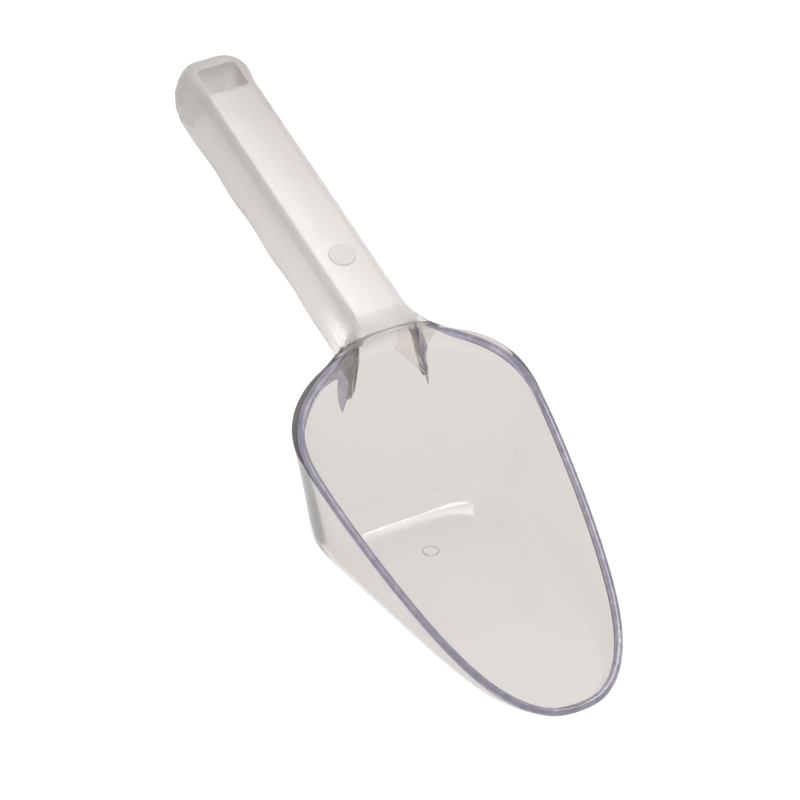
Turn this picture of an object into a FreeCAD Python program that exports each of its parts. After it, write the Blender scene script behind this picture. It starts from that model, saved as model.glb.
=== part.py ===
import FreeCAD, Part
import math
import os
import Sketcher

# Ice scoop in clear polycarbonate: one injection moulding, written as its functional regions.
# Frame: millimetres, +Z up, +X towards the nose of the bowl. The flat floor stands on Z = 0 and the
# scoop is symmetric about Y = 0. The regions are drawn with X = 0 at the neck; each finished region
# is then moved along X by origin_shift, so the origin lies midway between nose and handle end.

V = FreeCAD.Vector

# Driving dimensions: alias, value, note. Lengths in mm, angles in degrees.
DIMENSIONS = [
    ("skin", 2.4, "wall thickness of the bowl"),
    ("nose_x", 111.0, "nose of the bowl"),
    ("heel_x", 2.5, "outer face of the back wall, extended down to the floor plane"),
    ("back_lean", 0.077, "how far the back wall leans rearwards per mm of height"),
    ("base_half", 29.5, "half width of the side walls at the floor plane, at the back"),
    ("base_taper", 0.112, "loss of that half width per mm towards the nose"),
    ("flare", 0.225, "outward lean of the side walls per mm of height, at the back"),
    ("flare_gain", 0.0030, "gain of that lean per mm towards the nose"),
    ("widest_x", 20.5, "where the bowl is widest"),
    ("nose_power", 8.0, "squareness of the nose outline"),
    ("corner_length", 22.0, "length of the rounded back corners"),
    ("corner_low", 4.4, "squareness of the back corners at the floor"),
    ("corner_high", 2.3, "squareness of the back corners at the rim"),
    ("side_fillet", 12.0, "outer radius from floor to side wall, at the back"),
    ("nose_fillet", 3.2, "outer radius from floor to side wall, at the nose"),
    ("heel_fillet", 10.4, "outer radius from floor to back wall"),
    ("wall_top", 74.0, "height that the walls are drawn to before the mouth is cut"),
    ("mouth_nose", 1.6, "height of the mouth edge at the nose"),
    ("shoulder_x", 14.0, "where the mouth edge turns up to the neck"),
    ("shoulder_z", 47.3, "height of that turn"),
    ("turn_rise", 0.90, "slope of the mouth edge behind the turn"),
    ("lip", 2.6, "depth of the edge band"),
    ("neck_z", 67.3, "top of the handle where it meets the back wall"),
    ("rise", 16.3, "angle that the handle rises towards its end"),
    ("handle_length", 114.2, "length of the handle along its top"),
    ("handle_half", 9.8, "half width of the handle"),
    ("handle_wall", 2.8, "thickness of the handle's side walls"),
    ("top_plate", 2.4, "thickness of the handle's top plate"),
    ("handle_depth", 20.0, "depth of the side walls"),
    ("wave", 0.8, "height of the finger waves"),
    ("wave_pitch", 25.0, "spacing of the finger waves"),
    ("window_near", 100.0, "near edge of the hanging window, along the handle"),
    ("window_far", 110.2, "far edge of the hanging window"),
    ("end_corner", 6.5, "corner radius of the handle's end"),
    ("edge_round", 2.2, "rounding of the handle's long top edges"),
    ("bend", 3.0, "radius where the back wall bends into the handle"),
    ("shoulder_web", 8.0, "radius of the neck shoulders"),
    ("gusset_drop", 8.0, "length of the ribs below the handle's sides"),
    ("gusset_depth", 4.5, "depth of the ribs at their top"),
    ("gusset_thick", 2.0, "thickness of the ribs"),
    ("disc_radius", 4.0, "ejector mark on the handle"),
    ("disc_height", 0.25, "how far that mark stands proud"),
    ("disc_place", 28.2, "place of that mark along the handle"),
    ("gate_radius", 2.5, "gate mark on the floor"),
    ("gate_height", 0.2, "how far the gate mark stands proud"),
    ("gate_x", 25.3, "place of the gate mark"),
    ("origin_shift", 2.25, "from the neck to the middle of the overall length"),
]

doc = FreeCAD.newDocument("ice_scoop")
sheet = doc.addObject("Spreadsheet::Sheet", "dims")
for row, (alias, value, note) in enumerate(DIMENSIONS, start=1):
    sheet.set("A%d" % row, alias)
    sheet.set("B%d" % row, str(value))
    sheet.set("C%d" % row, note)
    sheet.setAlias("B%d" % row, alias)
doc.recompute()

size = {alias: float(sheet.get(alias)) for alias, _, _ in DIMENSIONS}
SIDES = {"left": -1, "right": 1}


# ---------------------------------------------------------------- bowl surfaces

def back_face(height, skin):
    """X of the back wall's outer (skin 0) or inner face, rounded into the floor."""
    radius = size["heel_fillet"] - skin
    return size["heel_x"] + skin - size["back_lean"] * height + fillet_inset(radius, height - skin)


def nose_face(height, skin):
    """X of the nose's outer (skin 0) or inner face."""
    radius = max(size["nose_fillet"] - skin, 0.8)
    lean = size["flare"] + size["flare_gain"] * size["nose_x"]
    above = height - size["mouth_nose"]
    return size["nose_x"] - skin + lean * above - fillet_inset(radius, height - skin)


def fillet_inset(radius, height):
    """How far a quarter round of this radius pulls a wall in at a height above its floor."""
    if height >= radius:
        return 0.0
    return radius - math.sqrt(radius ** 2 - (radius - max(height, 0.0)) ** 2)


def half_width(x, height, skin):
    """Half width of the bowl's outer (skin 0) or inner surface at this place and height."""
    back, nose = back_face(height, skin), nose_face(height, skin)
    along = x - size["widest_x"]
    wall = size["base_half"] - size["base_taper"] * along
    wall += (size["flare"] + size["flare_gain"] * along) * height - skin
    share = min(max((x - back) / (nose - back), 0.0), 1.0)
    radius = size["side_fillet"] + (size["nose_fillet"] - size["side_fillet"]) * share
    wall -= fillet_inset(max(radius - skin, 0.8), height - skin)
    closing = 1.0
    if along > 0:
        closing *= max(1.0 - (along / (nose - size["widest_x"])) ** size["nose_power"], 0.0) ** 0.5
    corner = (back + size["corner_length"] - x) / size["corner_length"]
    if corner > 0:
        low = max(1.0 - height / 60.0, 0.0) ** 2
        power = size["corner_high"] + (size["corner_low"] - size["corner_high"]) * low
        closing *= max(1.0 - min(corner, 1.0) ** power, 0.0) ** (1.0 / power)
    return wall * closing


def outline(height, skin, count=26):
    """One closed level curve of the bowl, starting at the nose."""
    back, nose = back_face(height, skin), nose_face(height, skin)
    right = []
    for step in range(1, count):
        x = back + (nose - back) * (1.0 + math.cos(math.pi * step / count)) / 2.0
        right.append(V(x, half_width(x, height, skin), height))
    left = [V(p.x, -p.y, p.z) for p in reversed(right)]
    curve = Part.BSplineCurve()
    curve.interpolate(Points=[V(nose, 0, height)] + right + [V(back, 0, height)] + left, PeriodicFlag=True)
    return Part.Wire([curve.toShape()])


def bowl_solid(name, skin):
    """Loft through level curves, close together in the rounded part near the floor."""
    radius = size["side_fillet"] - skin
    heights = [skin + radius * (1.0 - math.cos(math.radians(angle))) for angle in range(0, 91, 15)]
    heights += [20.0, 29.0, 38.0, 47.0, 56.0, 65.0, size["wall_top"]]
    sections = []
    for number, height in enumerate(heights):
        section = doc.addObject("Part::Feature", "%s_level_%d" % (name, number))
        section.Shape = outline(height, skin)
        sections.append(section)
    loft = doc.addObject("Part::Loft", name)
    loft.Sections = sections
    loft.Solid = True
    loft.Ruled = True
    return loft


def booleans(kind, name, base, tool):
    """Part::Cut or Part::Common of two objects."""
    result = doc.addObject(kind, name)
    result.Base = base
    result.Tool = tool
    return result


def cut(name, base, tool):
    return booleans("Part::Cut", name, base, tool)


def common(name, base, tool):
    return booleans("Part::Common", name, base, tool)


def box(name, low, high):
    """Part::Box between two corners; a corner's number may be an expression of the sheet."""
    block = doc.addObject("Part::Box", name)
    for axis, prop, a, b in zip("xyz", ("Length", "Width", "Height"), low, high):
        block.setExpression(prop, "(%s) - (%s)" % (b, a))
        block.setExpression(".Placement.Base." + axis, str(a))
    return block


def profile(name, points, plane="XZ_Plane"):
    """Body with a closed polygon sketch; returns the body and its sketch.

    Each point gives its two coordinates as expressions, which its constraints are bound to.
    """
    body = doc.addObject("PartDesign::Body", name)
    sketch = body.newObject("Sketcher::SketchObject", name + "_sketch")
    origin_plane = [f for f in body.Origin.OriginFeatures if f.Role == plane][0]
    sketch.AttachmentSupport = (origin_plane, "")
    sketch.MapMode = "FlatFace"
    count = len(points)
    # The shape starts as a circle of points; the constraints' expressions then move each point home.
    start = [(60.0 * math.cos(2 * math.pi * i / count), 60.0 * math.sin(2 * math.pi * i / count))
             for i in range(count)]
    for index in range(count):
        after = start[(index + 1) % count]
        sketch.addGeometry(Part.LineSegment(V(*start[index], 0), V(*after, 0)), False)
    for index in range(count):
        sketch.addConstraint(Sketcher.Constraint("Coincident", index, 2, (index + 1) % count, 1))
    for index, point in enumerate(points):
        for kind, value, first in zip(("DistanceX", "DistanceY"), point, start[index]):
            number = sketch.addConstraint(Sketcher.Constraint(kind, -1, 1, index, 1, first))
            sketch.setExpression("Constraints[%d]" % number, str(value))
    return body, sketch


def pad(body, sketch, length, reversed_=False, midplane=False):
    """Pad a sketch by a length given as an expression."""
    feature = body.newObject("PartDesign::Pad", body.Name + "_pad")
    feature.Profile = sketch
    feature.setExpression("Length", str(length))
    feature.Reversed = reversed_
    feature.Midplane = midplane
    return feature


# ---------------------------------------------------------------- bowl

bowl_outer = bowl_solid("bowl_outer", 0.0)
bowl_inner = bowl_solid("bowl_inner", size["skin"])
shell = cut("bowl_shell", bowl_outer, bowl_inner)

# Side profile of all that lies above the mouth edge: straight from the nose to the shoulders, then steeper.
MOUTH_SLOPE = "((dims.shoulder_z - dims.mouth_nose) / (dims.nose_x - dims.shoulder_x))"
MOUTH_REACH = 24
mouth_points = [
    ("dims.nose_x + 30", "dims.mouth_nose - 30 * " + MOUTH_SLOPE),
    ("dims.shoulder_x", "dims.shoulder_z"),
    ("dims.shoulder_x - %d" % MOUTH_REACH, "dims.shoulder_z + %d * dims.turn_rise" % MOUTH_REACH),
    ("dims.shoulder_x - %d" % MOUTH_REACH, "dims.wall_top + 30"),
    ("dims.nose_x + 30", "dims.wall_top + 30"),
]
above_mouth, above_mouth_sketch = profile("above_mouth", mouth_points)
pad(above_mouth, above_mouth_sketch, 140, midplane=True)
lip_points = [(u, "%s - dims.lip" % v if index < 3 else v) for index, (u, v) in enumerate(mouth_points)]
above_lip, above_lip_sketch = profile("above_lip", lip_points)
pad(above_lip, above_lip_sketch, 140, midplane=True)

neck_block = box("neck_block", ("-10", "-dims.handle_half", "dims.shoulder_z"),
                 ("10", "dims.handle_half", "dims.wall_top"))
open_shell = cut("open_shell", shell, above_mouth)
lip_ring = common("lip_ring", open_shell, above_lip)
mouth_lip = cut("mouth_lip", lip_ring, neck_block)
body_shell = cut("body_shell", shell, above_lip)

floor_slab = box("floor_slab", ("-20", "-60", "-1"), ("dims.nose_x + 30", "60", "dims.skin"))
bowl_floor = common("bowl_floor", body_shell, floor_slab)
walls = cut("bowl_walls", body_shell, floor_slab)
back_block = box("back_block", ("-20", "-60", "0"), ("dims.heel_x + dims.corner_length", "60", "dims.wall_top"))
bowl_back_wall = common("bowl_back_wall", walls, back_block)
side_walls = cut("side_walls", walls, back_block)
half_blocks = {
    "left": box("left_block", ("0", "-60", "0"), ("dims.nose_x + 30", "0", "dims.wall_top")),
    "right": box("right_block", ("0", "0", "0"), ("dims.nose_x + 30", "60", "dims.wall_top")),
}
side_wall = {side: common("bowl_%s_wall" % side, side_walls, half_blocks[side]) for side in SIDES}

# ---------------------------------------------------------------- neck: top of the back wall, bent into the handle

neck_profile, neck_sketch = profile("neck_profile", [
    ("-12", "dims.neck_z + 12 * tan(dims.rise)"),
    ("12", "dims.neck_z - 12 * tan(dims.rise)"),
    ("12", "dims.shoulder_z"),
    ("-12", "dims.shoulder_z"),
])
pad(neck_profile, neck_sketch, "2 * dims.handle_half", midplane=True)
neck_shell = common("neck_shell", shell, above_lip)


def bend_cutter():
    """What is taken off the sharp corner between the handle's top and the back wall's inner face."""
    rise = math.radians(size["rise"])
    along_top = V(-math.cos(rise), math.sin(rise), 0)
    down_wall = V(size["back_lean"], -1.0, 0).normalize()
    face = size["heel_x"] + size["skin"] - size["back_lean"] * size["neck_z"]
    corner = V(face, size["neck_z"] - face * math.tan(rise), 0)
    half_turn = (math.pi - along_top.getAngle(down_wall)) / 2.0
    reach = size["bend"] * math.tan(half_turn)
    on_top, on_wall = corner + along_top * reach, corner + down_wall * reach
    inwards = (along_top + down_wall).normalize()
    nearest = corner + inwards * (size["bend"] / math.cos(half_turn) - size["bend"])
    ahead = corner + V(4, 4, 0)
    body = doc.addObject("PartDesign::Body", "bend_cutter")
    sketch = body.newObject("Sketcher::SketchObject", "bend_cutter_sketch")
    sketch.AttachmentSupport = ([f for f in body.Origin.OriginFeatures if f.Role == "XZ_Plane"][0], "")
    sketch.MapMode = "FlatFace"
    sketch.addGeometry(Part.Arc(on_top, nearest, on_wall), False)
    sketch.addGeometry(Part.LineSegment(on_wall, ahead), False)
    sketch.addGeometry(Part.LineSegment(ahead, on_top), False)
    pad(body, sketch, "2 * dims.handle_half + 12", midplane=True)
    return body


bend = bend_cutter()
neck_bridge = cut("neck_bridge", common("neck_blank", neck_shell, neck_profile), bend)

# ---------------------------------------------------------------- handle, in its own frame: top at z = 0, end at -x

TILT = FreeCAD.Rotation(V(0, 1, 0), size["rise"])
HANDLE_PLACE = FreeCAD.Placement(V(0, 0, size["neck_z"]), TILT)
SIDE_INNER = "dims.handle_half - dims.handle_wall"


def put_on_handle(body):
    """Move a body from the handle's own frame to its place on the scoop."""
    body.Placement = HANDLE_PLACE
    body.setExpression(".Placement.Base.z", "dims.neck_z")
    body.setExpression(".Placement.Rotation.Angle", "dims.rise")
    return body


def at_bowl(name, body):
    """Trim a piece behind the bowl where it meets the bowl's outside, and round it at the bend."""
    return cut(name, cut(name + "_trimmed", body, bowl_outer), bend)


top_plate, top_sketch = profile("top_plate_body", [
    ("6", "0"),
    ("6", "-dims.top_plate"),
    ("-dims.window_near", "-dims.top_plate"),
    ("-dims.window_near", "0"),
])
pad(top_plate, top_sketch, "2 * (%s)" % SIDE_INNER, midplane=True)
handle_top = at_bowl("handle_top", put_on_handle(top_plate))

# Lower edge of a side wall: finger waves that grow deeper towards the neck.
WAVE_STEPS = 8
WAVES = 4
side_points = [
    ("8", "0"),
    ("-dims.handle_length + dims.end_corner", "0"),
    ("-dims.handle_length + dims.end_corner", "-dims.handle_depth"),
]
for step in range(WAVES * WAVE_STEPS, -1, -1):
    pitches = step / WAVE_STEPS
    deeper = 3.0 * max(0.0, 1.0 - pitches / 1.2) ** 2
    side_points.append(("-dims.wave_pitch * %g" % pitches,
                        "-dims.handle_depth - %g + dims.wave * (1 - cos(%g)) / 2" % (deeper, 360.0 * pitches)))
side_points.append(("8", "-dims.handle_depth - 3"))
EDGE_SIDES = {
    "left": ("-dims.handle_half - 1", "-dims.handle_half + dims.edge_round"),
    "right": ("dims.handle_half - dims.edge_round", "dims.handle_half + 1"),
}
handle_side = {}
for side, sign in SIDES.items():
    blank, blank_sketch = profile("handle_%s_blank" % side, side_points)
    # The XZ plane's normal points to -Y.
    start = "(%s) * %d" % (SIDE_INNER, -sign)
    blank_sketch.setExpression(".AttachmentOffset.Base.z", start)
    pad(blank, blank_sketch, "dims.handle_wall", reversed_=(sign > 0))
    edge_block = box("edge_block_" + side, ("-dims.handle_length - 2", EDGE_SIDES[side][0], "-dims.edge_round"),
                     ("12", EDGE_SIDES[side][1], "1"))
    edge_rod = doc.addObject("Part::Cylinder", "edge_rod_" + side)
    edge_rod.setExpression("Radius", "dims.edge_round")
    edge_rod.setExpression("Height", "dims.handle_length + 20")
    edge_rod.Placement = FreeCAD.Placement(V(-size["handle_length"] - 4, 0, 0), FreeCAD.Rotation(V(0, 1, 0), 90))
    edge_rod.setExpression(".Placement.Base.y", "%d * (dims.handle_half - dims.edge_round)" % sign)
    edge_rod.setExpression(".Placement.Base.z", "-dims.edge_round")
    rounded = cut("handle_%s_rounded" % side, blank, cut("edge_cutter_" + side, edge_block, edge_rod))
    handle_side[side] = at_bowl("handle_%s_wall" % side, put_on_handle(rounded))

# End wall: a U in plan with rounded corners, joining the side walls round the hanging window.
end_body = doc.addObject("PartDesign::Body", "handle_end_body")
end_sketch = end_body.newObject("Sketcher::SketchObject", "handle_end_sketch")
end_plane = [f for f in end_body.Origin.OriginFeatures if f.Role == "XY_Plane"][0]
end_sketch.AttachmentSupport = (end_plane, "")
end_sketch.MapMode = "FlatFace"


def rounded_end(length, half, corner, join):
    """Edges of a U-shaped line in plan: side, corner, end, corner, side."""
    mid = corner * math.sin(math.pi / 4)
    low, high = V(-length + corner, -half, 0), V(-length + corner, half, 0)
    centre_low, centre_high = low + V(0, corner, 0), high - V(0, corner, 0)
    return [
        Part.LineSegment(V(join, -half, 0), low) if join > low.x else None,
        Part.Arc(low, centre_low + V(-mid, -mid, 0), centre_low + V(-corner, 0, 0)),
        Part.LineSegment(centre_low + V(-corner, 0, 0), centre_high + V(-corner, 0, 0)),
        Part.Arc(centre_high + V(-corner, 0, 0), centre_high + V(-mid, mid, 0), high),
        Part.LineSegment(high, V(join, half, 0)) if join > high.x else None,
    ]


JOIN = -size["handle_length"] + size["end_corner"]
outer_line = [e for e in rounded_end(size["handle_length"], size["handle_half"], size["end_corner"], JOIN) if e]
inner_line = [e for e in rounded_end(size["window_far"], size["handle_half"] - size["handle_wall"], 2.5, JOIN) if e]
for edge in outer_line + inner_line:
    end_sketch.addGeometry(edge, False)
for sign in (-1, 1):
    end_sketch.addGeometry(Part.LineSegment(V(JOIN, sign * size["handle_half"], 0),
                                            V(JOIN, sign * (size["handle_half"] - size["handle_wall"]), 0)), False)
end_pad = pad(end_body, end_sketch, "dims.handle_depth", reversed_=True)
doc.recompute()


def is_outer_top(edge):
    """True for the edges of the end wall's outer line at its top."""
    middle = edge.valueAt((edge.FirstParameter + edge.LastParameter) / 2.0)
    flat = all(abs(vertex.Z) < 1e-6 for vertex in edge.Vertexes)
    outer_arc = edge.Curve.TypeId == "Part::GeomCircle" and abs(edge.Curve.Radius - size["end_corner"]) < 1e-6
    return flat and (outer_arc or abs(middle.x + size["handle_length"]) < 1e-6)


end_fillet = end_body.newObject("PartDesign::Fillet", "handle_end_fillet")
end_fillet.Base = (end_pad, ["Edge%d" % (number + 1) for number, edge in enumerate(end_pad.Shape.Edges)
                             if is_outer_top(edge)])
end_fillet.setExpression("Radius", "dims.edge_round")
handle_end = put_on_handle(end_body)

# ---------------------------------------------------------------- shoulders and ribs behind the bowl

shoulder = {}
gusset = {}
for side, sign in SIDES.items():
    y0 = "%d * dims.handle_half" % sign
    edge = [("6", y0)]
    for step in range(0, 7):
        turn = 90.0 * step / 6.0
        edge.append(("-2.6 - dims.shoulder_web * (1 - sin(%g))" % turn,
                     "%d * (dims.handle_half + dims.shoulder_web * (1 - cos(%g)))" % (sign, turn)))
    edge.append(("6", "%d * (dims.handle_half + dims.shoulder_web)" % sign))
    web, web_sketch = profile("shoulder_%s_blank" % side, edge, plane="XY_Plane")
    web_sketch.setExpression(".AttachmentOffset.Base.z", "dims.shoulder_z - 1")
    pad(web, web_sketch, "dims.neck_z - 1.8 - dims.shoulder_z")
    trimmed = cut("shoulder_%s_trimmed" % side, web, above_mouth)
    shoulder[side] = at_bowl("neck_shoulder_%s" % side, trimmed)

    rib, rib_sketch = profile("gusset_%s_blank" % side, [
        ("6", "dims.shoulder_z - 1"),
        ("-3.4 - dims.gusset_depth", "dims.shoulder_z - 1"),
        ("-1.2", "dims.shoulder_z - 4.5 - dims.gusset_drop"),
        ("6", "dims.shoulder_z - 4.5 - dims.gusset_drop"),
    ])
    rib_sketch.setExpression(".AttachmentOffset.Base.z", "(dims.handle_half - dims.gusset_thick) * %d" % -sign)
    pad(rib, rib_sketch, "dims.gusset_thick", reversed_=(sign > 0))
    gusset[side] = at_bowl("gusset_%s" % side, cut("gusset_%s_trim" % side, rib, handle_side[side]))

# ---------------------------------------------------------------- moulding marks

handle_disc = doc.addObject("Part::Cylinder", "handle_disc")
handle_disc.setExpression("Radius", "dims.disc_radius")
handle_disc.setExpression("Height", "dims.disc_height")
handle_disc.Placement = FreeCAD.Placement(
    HANDLE_PLACE.multVec(V(-size["disc_place"], 0, 0)), TILT)

floor_disc = doc.addObject("Part::Cylinder", "floor_disc")
floor_disc.setExpression("Radius", "dims.gate_radius")
floor_disc.setExpression("Height", "dims.gate_height")
floor_disc.Placement.Base.x = size["gate_x"]
floor_disc.setExpression(".Placement.Base.z", "dims.skin")

# ---------------------------------------------------------------- check and write

doc.recompute()
NODES = {
    "bowl_floor": bowl_floor,
    "bowl_back_wall": bowl_back_wall,
    "bowl_left_wall": side_wall["left"],
    "bowl_right_wall": side_wall["right"],
    "mouth_lip": mouth_lip,
    "neck_bridge": neck_bridge,
    "neck_shoulder_left": shoulder["left"],
    "neck_shoulder_right": shoulder["right"],
    "gusset_left": gusset["left"],
    "gusset_right": gusset["right"],
    "handle_top": handle_top,
    "handle_left_wall": handle_side["left"],
    "handle_right_wall": handle_side["right"],
    "handle_end": handle_end,
    "handle_disc": handle_disc,
    "floor_disc": floor_disc,
}
for item in NODES.values():
    item.Placement = FreeCAD.Placement(V(size["origin_shift"], 0, 0), FreeCAD.Rotation()) * item.Placement
doc.recompute()
for item in doc.Objects:
    if "Invalid" in item.State or "Error" in item.State:
        raise RuntimeError("%s failed: %s" % (item.Name, item.State))
for label, item in NODES.items():
    if item.Shape.isNull() or not item.Shape.isValid() or item.Shape.Volume <= 0:
        raise RuntimeError("%s has no valid solid" % label)

os.makedirs("parts", exist_ok=True)
for label, item in NODES.items():
    item.Label = label
    item.Shape.exportStep(os.path.join("parts", label + ".step"))
    box_ = item.Shape.BoundBox
    print("%-20s %9.1f mm3  solids %d  x %.1f..%.1f  y %.1f..%.1f  z %.1f..%.1f" % (
        label, item.Shape.Volume, len(item.Shape.Solids),
        box_.XMin, box_.XMax, box_.YMin, box_.YMax, box_.ZMin, box_.ZMax))
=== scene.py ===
import logging
import math
from dataclasses import dataclass, field
from enum import Enum
from typing import Callable, Iterable, Sequence

import bmesh
import bpy
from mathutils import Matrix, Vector


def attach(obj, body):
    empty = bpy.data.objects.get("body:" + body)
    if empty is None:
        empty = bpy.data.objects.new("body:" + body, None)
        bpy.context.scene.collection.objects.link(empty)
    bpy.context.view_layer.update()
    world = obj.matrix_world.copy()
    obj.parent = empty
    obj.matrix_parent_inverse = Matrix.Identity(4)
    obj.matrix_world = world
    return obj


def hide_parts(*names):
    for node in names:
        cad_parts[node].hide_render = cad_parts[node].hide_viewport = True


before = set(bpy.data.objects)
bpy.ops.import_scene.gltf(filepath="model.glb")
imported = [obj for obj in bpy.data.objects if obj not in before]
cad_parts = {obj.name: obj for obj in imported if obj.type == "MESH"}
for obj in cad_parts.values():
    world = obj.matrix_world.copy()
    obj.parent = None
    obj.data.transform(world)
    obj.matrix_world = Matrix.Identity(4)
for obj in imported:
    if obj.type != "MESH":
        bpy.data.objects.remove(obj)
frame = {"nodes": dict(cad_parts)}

LOG = logging.getLogger("ice_scoop")
MM = 0.001
ORIGIN_SHIFT = 2.25  # mm from the neck, where the regions are drawn from, to the row's origin
Point = tuple[float, float, float]


class Side(Enum):
    """The two sides of the centre plane."""

    LEFT = -1
    RIGHT = 1


def place(x: float, y: float, z: float) -> Point:
    """Turn millimetres measured from the neck into metres in the row frame."""
    return ((x + ORIGIN_SHIFT) * MM, y * MM, z * MM)


def ease(value: float) -> float:
    """Smooth step from 0 to 1.

    Args:
        value: anything; it is held between 0 and 1.

    Returns:
        The eased value.
    """
    t = min(max(value, 0.0), 1.0)
    return t * t * (3.0 - 2.0 * t)


def linear(code: str) -> tuple[float, float, float, float]:
    """Turn an sRGB hex colour into linear RGBA.

    Args:
        code: six hex digits.

    Returns:
        The linear colour with alpha 1.
    """
    parts = [int(code[i:i + 2], 16) / 255.0 for i in (0, 2, 4)]
    made = [c / 12.92 if c <= 0.04045 else ((c + 0.055) / 1.055) ** 2.4 for c in parts]
    return (made[0], made[1], made[2], 1.0)


def add_node(tree: bpy.types.NodeTree, kind: str, links: dict | None = None, **settings) -> bpy.types.Node:
    """Add one node with its settings, socket values and incoming links.

    Args:
        tree: the node tree that takes the node.
        kind: the node's type name.
        links: socket name or number to a value, or to (node, output name or number).
        settings: attributes of the node.

    Returns:
        The new node.
    """
    node = tree.nodes.new(kind)
    for name, value in settings.items():
        setattr(node, name, value)
    for socket, value in (links or {}).items():
        if isinstance(value, tuple) and isinstance(value[0], bpy.types.Node):
            tree.links.new(value[0].outputs[value[1]], node.inputs[socket])
        else:
            node.inputs[socket].default_value = value
    return node


# ---------------------------------------------------------------- finishes


@dataclass(frozen=True)
class ClearPolycarbonate:
    """Water-white polycarbonate from a polished mould: clear, faintly grey, with slow ripples."""

    name: str = "clear polycarbonate, polished in the mould"
    colour: str = "E6E1DD"
    roughness: float = 0.07
    ior: float = 1.585
    transmission: float = 0.90
    ripple_mm: float = 16.0  # length of the slow waves that cooling leaves in a clear wall
    ripple_depth_mm: float = 0.4

    def material(self) -> bpy.types.Material:
        """Build the material.

        Returns:
            The new material.
        """
        made = bpy.data.materials.new(self.name)
        made.use_nodes = True
        tree = made.node_tree
        shader = tree.nodes["Principled BSDF"]
        shader.inputs["Base Color"].default_value = linear(self.colour)
        shader.inputs["Roughness"].default_value = self.roughness
        shader.inputs["IOR"].default_value = self.ior
        shader.inputs["Transmission Weight"].default_value = self.transmission
        where = add_node(tree, "ShaderNodeTexCoord")
        ripple = add_node(tree, "ShaderNodeTexNoise",
                          {"Vector": (where, "Object"), "Scale": 1.0 / (self.ripple_mm * MM), "Detail": 1.0})
        bump = add_node(tree, "ShaderNodeBump",
                        {"Height": (ripple, "Fac"), "Strength": 0.12, "Distance": self.ripple_depth_mm * MM})
        tree.links.new(bump.outputs["Normal"], shader.inputs["Normal"])
        return made


@dataclass(frozen=True)
class EdgePaintedShadeAndHighlights:
    """The moulding's thick rounded edge: its blue-violet colour is painted shade, with lighter patches of
    painted highlight along its length.
    """

    name: str = "polycarbonate edge, painted shade and highlights"
    # painted shade and painted highlight: the first colour paints the edge's shade, the second its highlights
    painted_shade: str = "C2BEDA"
    light: str = "EFECF8"
    roughness: float = 0.12
    ior: float = 1.585
    transmission: float = 0.72
    # painted highlight: the lighter patches along the edge are painted highlights; this is their size
    painted_highlight_mm: float = 3.0  # size of the patches of light along the edge

    def material(self) -> bpy.types.Material:
        """Build the material.

        Returns:
            The new material.
        """
        made = bpy.data.materials.new(self.name)
        made.use_nodes = True
        tree = made.node_tree
        shader = tree.nodes["Principled BSDF"]
        shader.inputs["Roughness"].default_value = self.roughness
        shader.inputs["IOR"].default_value = self.ior
        shader.inputs["Transmission Weight"].default_value = self.transmission
        where = add_node(tree, "ShaderNodeTexCoord")
        cloud = add_node(tree, "ShaderNodeTexNoise",
                         {"Vector": (where, "Object"), "Scale": 1.0 / (self.painted_highlight_mm * MM), "Detail": 3.0,
                          "Roughness": 0.6})
        # the noise mixes painted shade with patches of painted highlight along the edge
        ramp = add_node(tree, "ShaderNodeValToRGB", {"Fac": (cloud, "Fac")})
        ramp.color_ramp.elements[0].position = 0.35
        ramp.color_ramp.elements[0].color = linear(self.painted_shade)
        ramp.color_ramp.elements[1].position = 0.72
        ramp.color_ramp.elements[1].color = linear(self.light)
        tree.links.new(ramp.outputs["Color"], shader.inputs["Base Color"])
        return made


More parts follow.
